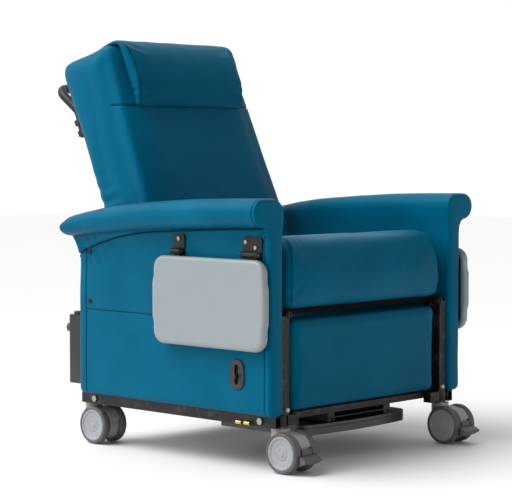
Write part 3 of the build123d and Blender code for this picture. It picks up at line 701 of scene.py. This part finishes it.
def limit_leg(spots):
    spots[:, 1] = np.clip(spots[:, 1], 9, 57.8)
    lip = np.clip((spots[:, 1] - 26) / 10, 0, 1)
    spots[:, 2] = np.clip(spots[:, 2], 129 + 8 * lip, 370)
    return spots


inflate(leg_pad, 0.005, 5, held=lambda p: p[:, 1] > 54, limit=limit_leg)


def crease_leg():
    spots = spots_mm(leg_pad)
    x, y, z = spots.T
    seam = ridge(y - 40, 1.8)
    corner = np.clip((np.abs(x) - 200) / 70, 0, 1) * np.clip((np.abs(z - 253) - 60) / 50, 0, 1)
    push = (-1.1 * seam + 0.5 * corner * np.sin((np.abs(x) + np.abs(z - 253)) * 0.12)
            + 0.6 * ease_field(spots, 90, 2.0))
    move_along_normals(leg_pad, push * MM)
    # Painted shade along the seam.
    paint_seam_shade(leg_pad, 0.6 * seam)


crease_leg()
finish_padding(leg_pad, "leg_rest", 0.8, "leg_rest_pad")

# ---------------------------------------------------------------------------
# Backrest: a thick foam slab in a boxed cover, leaning back from the seat, with
# a flat rear face tacked to the steel frame and a yoke seam across its front.
YOKE_Z = 894.0


back_line = [(467, 461), (517, 583), (567, 699), (617, 816), (661, 921), (696, 1003), (706, 1035),
             (715, 1052), (731, 1060), (760, 1052), (800, 1040), (856, 1022), (890, 1009), (899, 996),
             (895, 968), (858, 904), (803, 798), (752, 692), (715, 614), (682, 540), (641, 450),
             (629, 444), (590, 446), (540, 450), (488, 454)]


def back_half(z):
    return along(z, (455, 266), (615, 265), (900, 252), (1075, 238))


back = loft("back_upholstery", across(smooth_line(back_line, 190, closed=True), back_half, 16), vinyl)


def limit_back(spots):
    spots[:, 2] = np.minimum(spots[:, 2], 1066)
    behind = 900 - spots[:, 1]
    spots[:, 1] = np.where(behind < -3, 903, spots[:, 1])
    lean = (spots[:, 1] - 716) - (spots[:, 2] - 615) * (887 - 716) / (968 - 615)
    spots[:, 1] -= np.maximum(lean - np.interp(spots[:, 2], (700, 968), (1, 12)), 0) * (spots[:, 2] < 968)
    low = np.minimum(spots[:, 2] - 441, 0)
    spots[:, 2] -= low
    return spots


inflate(back, 0.007, 6, held=lambda p: (p[:, 1] - 716) - (p[:, 2] - 615) * 0.4844 > -8, limit=limit_back)


def crease_back():
    spots = spots_mm(back)
    x, y, z = spots.T
    half = np.interp(z, (455, 615, 900, 1075), (266, 265, 252, 238))
    ahead = y - (462 + (z - 455) * 0.4306)
    face = ahead < 44
    yoke = ridge(z - YOKE_Z, 2.4) * face
    drag = np.clip((np.abs(x) - 150) / 90, 0, 1) * face * ridge(z - 520, 90)
    rear_low = (np.abs(x) > half - 12) * ridge(z - 600, 90) * np.clip((ahead - 60) / 60, 0, 1)
    soft_top = (z > 1000) * ease_field(spots, 60, 7.0)
    push = -2.4 * yoke + 1.2 * drag * np.sin(z * 0.11 + np.abs(x) * 0.06)
    push += 1.8 * rear_low * np.sin(z * 0.16 + y * 0.05) + 1.0 * soft_top + 1.2 * ease_field(spots, 130, 5.0)
    move_along_normals(back, push * MM)
    # Painted shade along the yoke seam.
    paint_seam_shade(back, 0.9 * yoke)


crease_back()
finish_padding(back, "backrest", 0.85, "back_cushion")



def front_line(z):
    return 462 + (z - 455) * (701 - 462) / (1010 - 455)


# ---------------------------------------------------------------------------
# Head pillow: a foam roll stitched to a flap that goes over the top of the back.
pillow_line = [(647, 889), (636, 895), (634, 920), (639, 966), (657, 1008), (676, 1043), (695, 1063),
               (720, 1070),
               (750, 1064), (795, 1047), (850, 1025), (860, 1019), (856, 1011), (846, 1013), (792, 1036),
               (746, 1055), (722, 1060), (710, 1050), (701, 1025), (688, 990), (664, 932), (652, 897)]


def pillow_half(z):
    return along(z, (900, 203), (940, 203), (1010, 203), (1070, 212))


pillow = loft("pillow_upholstery", across(smooth_line(pillow_line, 150, closed=True), pillow_half, 6), vinyl)


def limit_pillow(spots):
    spots[:, 2] = np.minimum(spots[:, 2], 1074)
    return spots


inflate(pillow, 0.0045, 9, pressure=3.0,
        held=lambda p: (p[:, 1] > 770) | (p[:, 1] - front_line(p[:, 2]) > -6), limit=limit_pillow)


def crease_pillow():
    spots = spots_mm(pillow)
    x, y, z = spots.T
    half = np.interp(z, (900, 940, 1010, 1070), (203, 203, 203, 212))
    edge_seam = ridge(np.abs(x) - half + 9, 2.2)
    crest_seam = ridge(y - 716, 2.2) * (z > 1040)
    push = -1.0 * edge_seam - 0.8 * crest_seam + 1.0 * ease_field(spots, 60, 1.5)
    push += 0.8 * (np.abs(x) > half - 50) * ridge(z - 930, 30) * np.sin(z * 0.3 + np.abs(x) * 0.1)
    move_along_normals(pillow, push * MM)
    # Painted shade along the pillow's edge and crest seams.
    paint_seam_shade(pillow, 0.8 * edge_seam + 0.5 * crest_seam)


crease_pillow()
finish_padding(pillow, "backrest", 0.7, "head_pillow")

# ---------------------------------------------------------------------------
# Rear closing panels: vinyl-covered boards, one fixed between the arms and one
# that hangs below the backrest and swings with it.


def covered_board(name, node, body, corner):
    low, high = (np.array(c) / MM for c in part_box(node))
    low[1] -= FRONT_Y / MM
    high[1] -= FRONT_Y / MM
    middle = (low[0] + high[0]) / 2
    outline = rounded_panel((high[0] - low[0]) / 2 - 0.5, (high[0] - low[0]) / 2 - 0.5,
                            low[2], high[2], corner)
    outline[:, 0] += middle
    board = loft(name, deep_panel(outline, low[1], high[1], 4, 4), vinyl)
    spots = spots_mm(board)
    edge = np.minimum.reduce([spots[:, 0] - low[0], high[0] - spots[:, 0], spots[:, 2] - low[2],
                              high[2] - spots[:, 2]])
    push = 0.7 * ease_field(spots, 50, 3.0) - 0.9 * ridge(edge - 16, 1.8)
    move_along_normals(board, push * MM)
    finish_padding(board, body, 0.9, node)


covered_board("rear_closing_panel", "rear_panel", "base", 6)


# ---------------------------------------------------------------------------
# Fastenings of the frame: zinc-plated screws, bolts and pivot pins, black-coated press
# studs, brass cable ferrules and the ends of the steel springs.
ZINC = (0.36, 0.35, 0.33, 1)


def plated(name, colour, rough, dull):
    metal = Finish(name, Metallic=1.0)
    smears = metal.noise(60, 4, 0.6)
    worn = metal.band(metal.noise(210, 3), 0.55, 0.7)
    metal.set(Base_Color=metal.mix(worn * 0.5, colour, dull),
              Roughness=rough + 0.22 * smears,
              Normal=metal.bump(metal.noise(1400, 2), 0.00006, 0.4))
    return metal.material


zinc = plated("zinc_plate", ZINC, 0.2, (0.22, 0.21, 0.20, 1))
brass = plated("brass", (0.72, 0.50, 0.17, 1), 0.14, (0.45, 0.28, 0.08, 1))
coat_nodes(black_coat, "press_studs")
coat_nodes(zinc, "frame_screws", "pivot_pins", "caster_stems", "back_spring_pin", "gas_spring_rod")
coat_nodes(brass, "cable_ferrules")


def plywood_face():
    board = Finish("plywood", Roughness=0.62)
    rings = board.node("TexWave", {"wave_type": "BANDS", "bands_direction": "Z"},
                       {"Vector": board.place(), "Scale": 26.0, "Distortion": 5.0, "Detail": 3.0,
                        "Detail Scale": 1.6})
    fibre = board.noise(14, 4, 0.6, stretch=(1, 12, 40))
    board.set(Base_Color=board.mix(0.6 * rings + 0.3 * fibre, (0.50, 0.33, 0.17, 1), (0.33, 0.20, 0.09, 1)),
              Normal=board.bump(fibre, 0.0006, 0.3))
    return board.material


def dust_cloth():
    cloth = Finish("black_dust_cloth", Roughness=0.9, Specular_IOR_Level=0.08)
    threads = cloth.node("TexWave", {"wave_type": "BANDS", "bands_direction": "X"},
                         {"Vector": cloth.place(), "Scale": 420.0})
    cloth.set(Base_Color=cloth.mix(cloth.noise(30, 3), (0.004, 0.004, 0.005, 1), (0.012, 0.011, 0.012, 1)),
              Normal=cloth.bump(threads, 0.0003, 0.4))
    return cloth.material


plywood = plywood_face()
coat_nodes(plywood, "arm_core_left", "arm_core_right", "leg_rest_board")
dust = dust_cloth()
coat_nodes(dust, "seat_pan")

# ---------------------------------------------------------------------------
# Twin-wheel casters: dished grey plastic discs with moulded rings on a common
# axle, soft dark tyres pressed over their rims, and a grey moulded hood.
AXLE_Z = 50.0
HOOD_GREY = (0.47, 0.48, 0.495, 1)


def moulded(name, colour, scuffed, rough=0.42, grain=700, depth=0.00012, gloss=0.0):
    plastic = Finish(name, Coat_Weight=gloss, Coat_Roughness=0.18)
    blotch = plastic.noise(22, 4, 0.6)
    rub = plastic.band(plastic.node("NewGeometry", output="Pointiness"), 0.52, 0.6)
    plastic.set(Base_Color=plastic.mix(rub * 0.6 + 0.25 * blotch, colour, scuffed),
                Roughness=rough + 0.12 * plastic.noise(75, 3),
                Normal=plastic.bump(plastic.noise(grain, 2), depth, 0.45))
    return plastic.material


def tyre_rubber():
    rubber = Finish("tyre_rubber")
    dust = rubber.band(rubber.noise(55, 5, 0.65), 0.42, 0.7)
    rubber.set(Base_Color=rubber.mix(dust, (0.075, 0.070, 0.069, 1), (0.125, 0.117, 0.113, 1)),
               Roughness=0.55 + 0.2 * rubber.noise(120, 3),
               Normal=rubber.bump(rubber.noise(480, 3), 0.0003, 0.4))
    return rubber.material


disc_plastic = moulded("disc_plastic", (0.29, 0.30, 0.32, 1), (0.24, 0.25, 0.265, 1), 0.38)
hood_plastic = moulded("hood_plastic", HOOD_GREY, (0.19, 0.195, 0.20, 1), 0.4)
pedal_plastic = moulded("pedal_plastic", (0.05, 0.05, 0.052, 1), (0.095, 0.095, 0.097, 1), 0.45)
rubber = tyre_rubber()


def lathe(name, profiles, axle, material, steps=72):
    """Closed rings of (distance along the axle, radius), turned about an axle across the chair."""
    mesh = bpy.data.meshes.new(name)
    points, faces = [], []
    for profile in profiles:
        base, n = len(points), len(profile)
        for i in range(steps):
            a = 2 * pi * i / steps
            points += [((axle[0] + x) * MM, (axle[1] + r * cos(a)) * MM + FRONT_Y,
                        (axle[2] + r * sin(a)) * MM)
                       for x, r in profile]
        for i in range(steps):
            k = (i + 1) % steps
            for j in range(n):
                m = (j + 1) % n
                faces.append((base + i * n + j, base + i * n + m, base + k * n + m, base + k * n + j))
    mesh.from_pydata(points, [], faces)
    shell = bmesh.new()
    shell.from_mesh(mesh)
    bmesh.ops.remove_doubles(shell, verts=shell.verts, dist=1e-6)
    bmesh.ops.dissolve_degenerate(shell, edges=shell.edges, dist=1e-7)
    bmesh.ops.recalc_face_normals(shell, faces=shell.faces)
    shell.to_mesh(mesh)
    shell.free()
    shade(mesh)
    return new_piece(name, mesh, material)


def crisp(piece, angle=32):
    """Smooth shading that keeps edges sharper than the angle."""
    mesh = piece.data
    shell = bmesh.new()
    shell.from_mesh(mesh)
    for edge in shell.edges:
        edge.smooth = len(edge.link_faces) == 2 and edge.calc_face_angle(0) < radians(angle)
    shell.to_mesh(mesh)
    shell.free()


DISC = [(38.2, 0.0), (38.2, 6.2), (37.8, 8.4), (37.0, 9.2), (37.0, 10.4), (37.5, 11.0), (37.6, 16.5),
        (37.3, 17.6),
        (36.7, 18.2), (36.6, 19.4), (37.1, 20.2), (37.3, 31.0), (37.6, 33.2), (38.2, 33.9), (39.3, 34.6),
        (40.2, 36.2), (40.4, 39.6), (39.6, 41.0), (38.6, 41.4), (21.0, 41.4),
        (20.0, 40.4), (19.6, 36.0), (22.0, 33.5), (22.6, 12.0), (19.4, 11.0), (19.2, 0.0)]
TYRE = [(38.8, 41.5), (39.9, 42.2), (40.7, 43.6), (40.7, 45.2), (39.8, 47.4), (37.8, 49.2), (35.0, 49.9),
        (31.0, 49.98), (29.0, 49.98), (25.0, 49.9), (22.2, 49.2), (20.2, 47.4), (19.2, 45.2), (19.2, 43.6),
        (20.0, 42.2), (21.2, 41.5)]
for corner in ("front_right", "front_left", "rear_right", "rear_left"):
    centre = box_centre(f"caster_{corner}_wheels") / MM
    axle = (centre[0], centre[1] - FRONT_Y / MM, AXLE_Z)
    for kind, profile, material, slot in (("wheels", DISC, disc_plastic, "disc_grey"),
                                          ("tyres", TYRE, rubber, "tyre")):
        both = [[(flip * x, r) for x, r in profile] for flip in (-1, 1)]
        turned = lathe(f"caster_{corner}_turned_{kind}", both, axle, material)
        crisp(turned)
        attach(turned, f"wheels_{corner}")
        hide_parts(f"caster_{corner}_{kind}")
    coat_nodes(hood_plastic, f"caster_{corner}_hood")
coat_nodes(pedal_plastic, "brake_pedal_left", "brake_pedal_right")

# ---------------------------------------------------------------------------
# Side tables: grey moulded tops that hang beside the arms on black hinge leaves.
# Each has a wide soft edge and a raised grip over the middle of its short sides.
GRIP_HALF = 50.0
GRIP_OUT = 3.5


def table_top(side, name):
    low, high = (np.array(c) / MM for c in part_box(f"table_top_{name}"))
    y_low, y_high = low[1] - FRONT_Y / MM + GRIP_OUT, high[1] - FRONT_Y / MM - GRIP_OUT
    half, middle = (y_high - y_low) / 2, (y_high + y_low) / 2
    outline = rounded_panel(half, half, low[2], high[2], 34)
    outline[:, 0] += middle
    profile = [(404.2, 17.5), (404.6, 13), (404.4, 9.5), (403.7, 6.4), (402.4, 3.8), (400.6, 1.8),
               (398.4, 0.5),
               (396, 0), (391, 0), (388, 0.5), (385.6, 1.8), (384, 3.8), (383.2, 6.5), (383.1, 12)]
    rings = [np.stack([np.full(len(outline), side * x), *inset(outline, depth).T], axis=1)
             for x, depth in profile]
    top = loft(f"table_moulding_{name}", rings, table_plastic)
    spots = spots_mm(top)
    reach = half - np.abs(spots[:, 1] - middle)
    grip = 1 / (1 + np.exp((np.abs(spots[:, 2] - (low[2] + high[2]) / 2) - GRIP_HALF) / 1.3))
    face = side * spots[:, 0] > 399
    lift = grip * ridge(reach - 5.0, 4.6) * face * 1.5
    spots[:, 0] += side * lift
    spots[:, 1] += np.sign(spots[:, 1] - middle) * grip * ridge(np.maximum(reach, 0), 6) * (GRIP_OUT + 0.8)
    set_spots(top, spots)
    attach(top, f"table_{name}_body")
    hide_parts(f"table_top_{name}")


table_plastic = moulded("table_plastic", (0.225, 0.257, 0.272, 1), (0.27, 0.305, 0.32, 1), 0.34, 900,
                        0.00006, 0.12)
for side, name in ((-1, "right"), (1, "left")):
    table_top(side, name)

# ---------------------------------------------------------------------------
# Small fittings: the glossy foot tray, release lever and its escutcheon, the
# rubber bumpers, the ribbed mouldings clipped behind the table tops, and the
# drip-stand socket with its clamping knob.
black_plastic = moulded("black_plastic", (0.008, 0.007, 0.0075, 1), (0.028, 0.026, 0.027, 1), 0.38, 600,
                        0.0001, 0.0)
tray_plastic = moulded("tray_plastic", (0.009, 0.007, 0.0075, 1), (0.035, 0.031, 0.031, 1), 0.26, 500,
                       0.00015, 0.2)
cream_rubber = moulded("cream_rubber", (0.62, 0.58, 0.47, 1), (0.50, 0.46, 0.36, 1), 0.6)
# A black patch set into the arm's outer face over the release lever's slot, as painted shade for the slot's
# dark recess.
slot_low, slot_high = (np.array(c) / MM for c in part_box("lever_escutcheon"))
slot_middle = (slot_low + slot_high) / 2
slot_outline = rounded_panel(8, 8, slot_middle[2] - 27, slot_middle[2] + 27, 7.9)
slot_shade_patch = loft("lever_slot_shade",
             [np.stack([np.full(len(slot_outline), x), slot_outline[:, 0] + slot_middle[1] - FRONT_Y / MM,
                        slot_outline[:, 1]], axis=1) for x in (-371.0, -373.9)], dust)
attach(slot_shade_patch, "base")
coat_nodes(tray_plastic, "foot_tray")
RIB_PLANE = 381.2
RIB_DEEP = 2.6
RIB_WIDE = 2.4


def table_underside(side, name):
    """A black ribbed moulding clipped into the back of the table top."""
    low, high = (np.array(c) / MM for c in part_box(f"table_top_{name}"))
    y_low, y_high = low[1] - FRONT_Y / MM + 14, high[1] - FRONT_Y / MM - 14
    half, middle = (y_high - y_low) / 2, (y_high + y_low) / 2
    outline = rounded_panel(half, half, low[2] + 11, high[2] - 11, 26)
    outline[:, 0] += middle
    back_shell = loft(f"table_underside_{name}",
                      [np.stack([np.full(len(outline), side * x), *inset(outline, d).T], axis=1)
                       for x, d in ((384.6, 0), (382.2, 0), (381.4, 0.8), (381.4, 5), (382.0, 6.5),
                                    (382.0, 9))],
                      black_plastic)
    ribs = bmesh.new()
    ribs.from_mesh(back_shell.data)
    for share in np.linspace(-0.8, 0.8, 7):
        bar_mid = (side * RIB_PLANE * MM, (middle + share * half) * MM + FRONT_Y, (low[2] + high[2]) / 2 * MM)
        made = bmesh.ops.create_cube(ribs, size=1.0)
        bmesh.ops.scale(ribs, verts=made["verts"],
                        vec=(RIB_DEEP * MM, RIB_WIDE * MM, (high[2] - low[2] - 44) * MM))
        bmesh.ops.translate(ribs, verts=made["verts"], vec=bar_mid)
    for share in (-0.55, 0.0, 0.55):
        rise = (low[2] + high[2]) / 2 + share * (high[2] - low[2]) / 2
        made = bmesh.ops.create_cube(ribs, size=1.0)
        bmesh.ops.scale(ribs, verts=made["verts"], vec=(RIB_DEEP * MM, (2 * half - 22) * MM, RIB_WIDE * MM))
        bmesh.ops.translate(ribs, verts=made["verts"],
                            vec=(side * RIB_PLANE * MM, middle * MM + FRONT_Y, rise * MM))
    ribs.to_mesh(back_shell.data)
    ribs.free()
    crisp(back_shell)
    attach(back_shell, f"table_{name}_body")


for side, name in ((-1, "right"), (1, "left")):
    table_underside(side, name)
coat_nodes(black_plastic, "lever_escutcheon", "release_lever", "iv_pole_clamp_knob", "iv_pole_socket")
coat_nodes(cream_rubber, "post_bumpers")
coat_nodes(vinyl, "back_skirt")

# ---------------------------------------------------------------------------
# Stitching: rows of short teal thread stitches beside the seams of the arms, the
# backrest's yoke and the pillow.
STITCH_PITCH = 0.0042
STITCH_LONG = 0.0014
STITCH_THICK = 0.00034
ARM_FACE = 372


def stitch_nodes():
    tree = bpy.data.node_groups.new("stitch_row", "GeometryNodeTree")
    face = tree.interface
    face.new_socket("Line", in_out="INPUT", socket_type="NodeSocketGeometry")
    for name in ("Pitch", "Length", "Thickness"):
        face.new_socket(name, in_out="INPUT", socket_type="NodeSocketFloat")
    face.new_socket("Thread", in_out="INPUT", socket_type="NodeSocketMaterial")
    face.new_socket("Stitches", in_out="OUTPUT", socket_type="NodeSocketGeometry")

    def add(kind, settings=(), **links):
        node = tree.nodes.new(kind)
        for key, value in dict(settings).items():
            setattr(node, key, value)
        for key, value in links.items():
            socket = node.inputs[key.replace("_", " ")]
            if isinstance(value, bpy.types.NodeSocket):
                tree.links.new(value, socket)
            else:
                socket.default_value = value
        return node

    given = add("NodeGroupInput").outputs
    line = add("GeometryNodeMeshToCurve", Mesh=given["Line"]).outputs["Curve"]
    cut = add("GeometryNodeResampleCurve", {"mode": "LENGTH"}, Curve=line,
              Length=given["Pitch"]).outputs["Curve"]
    tangent = add("GeometryNodeInputTangent").outputs["Tangent"]
    turn = add("FunctionNodeAlignRotationToVector", {"axis": "Z"}, Vector=tangent).outputs["Rotation"]
    bead = add("GeometryNodeMeshUVSphere", Segments=6, Rings=4, Radius=1.0).outputs["Mesh"]
    size = add("ShaderNodeCombineXYZ", X=given["Thickness"], Y=given["Thickness"],
               Z=given["Length"]).outputs[0]
    rows = add("GeometryNodeInstanceOnPoints", Points=cut, Instance=bead, Rotation=turn, Scale=size)
    solid = add("GeometryNodeRealizeInstances", Geometry=rows.outputs["Instances"]).outputs["Geometry"]
    done = add("GeometryNodeSetMaterial", Geometry=solid, Material=given["Thread"]).outputs["Geometry"]
    tree.links.new(done, add("NodeGroupOutput").inputs["Stitches"])
    return tree


def thread_finish():
    thread = Finish("teal_thread", Specular_IOR_Level=0.15)
    thread.set(Base_Color=thread.mix(thread.noise(300, 2), (0.0, 0.050, 0.095, 1), (0.0, 0.095, 0.165, 1)),
               Roughness=0.55 + 0.2 * thread.noise(500, 2))
    return thread.material


stitch_tree = stitch_nodes()
thread = thread_finish()


def sew(name, rows, pieces, body):
    """Stitches along rows of points (mm), each laid on the pieces' surface from a direction."""
    points, edges = [], []
    for row, toward in rows:
        landed = []
        for spot in row:
            origin = Vector((spot[0] * MM, spot[1] * MM + FRONT_Y, spot[2] * MM))
            way = Vector(toward).normalized()
            hits = [piece.ray_cast(origin - way * 0.06, way, distance=0.12) for piece in pieces]
            hits = [hit[1] for hit in hits if hit[0]]
            if hits:
                landed.append(min(hits, key=lambda h: (h - origin + way * 0.06).length) - way * 0.0001)
        start = len(points)
        points += landed
        edges += [(start + i, start + i + 1) for i in range(len(landed) - 1)]
    mesh = bpy.data.meshes.new(name)
    mesh.from_pydata(points, edges, [])
    seam_row = new_piece(name, mesh, None)
    maker = seam_row.modifiers.new("stitches", "NODES")
    maker.node_group = stitch_tree
    sizes = {"Pitch": STITCH_PITCH, "Length": STITCH_LONG, "Thickness": STITCH_THICK, "Thread": thread}
    for socket in stitch_tree.interface.items_tree:
        if socket.in_out == "INPUT" and socket.name in sizes:
            maker[socket.identifier] = sizes[socket.name]
    settle(seam_row)
    shade(seam_row.data)
    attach(seam_row, body)


for side, name in ((-1, "right"), (1, "left")):
    cover = bpy.data.objects[f"arm_upholstery_{name}"]
    inward = (-side, 0, 0)
    rows = [([(side * ARM_FACE, STRIP_SEAM + 4.5, z) for z in np.linspace(160, 560, 90)], inward),
            ([(side * ARM_FACE, REAR_SEAM + 4, z) for z in np.linspace(150, 498, 80)], inward),
            ([(side * ARM_FACE, y, PANEL_SEAM + 4)
              for y in np.linspace(STRIP_SEAM + 8, REAR_SEAM - 6, 120)], inward),
            ([(side * ARM_FACE, y, roll_seam(y) - 6) for y in np.linspace(STRIP_SEAM + 8, 676, 150)], inward)]
    sew(f"arm_stitches_{name}", rows, [cover], "base")
ahead = (0, 0.92, -0.4)
yoke_row = [(x, front_line(YOKE_Z), YOKE_Z - 6) for x in np.linspace(-246, 246, 120)]
sew("yoke_stitches", [(yoke_row, ahead)], [back], "backrest")
edge_rows = [([(flip * 191, front_line(z) - 20, z) for z in np.linspace(905, 1046, 60)], ahead)
             for flip in (-1, 1)]
sew("pillow_stitches", edge_rows, [pillow], "backrest")
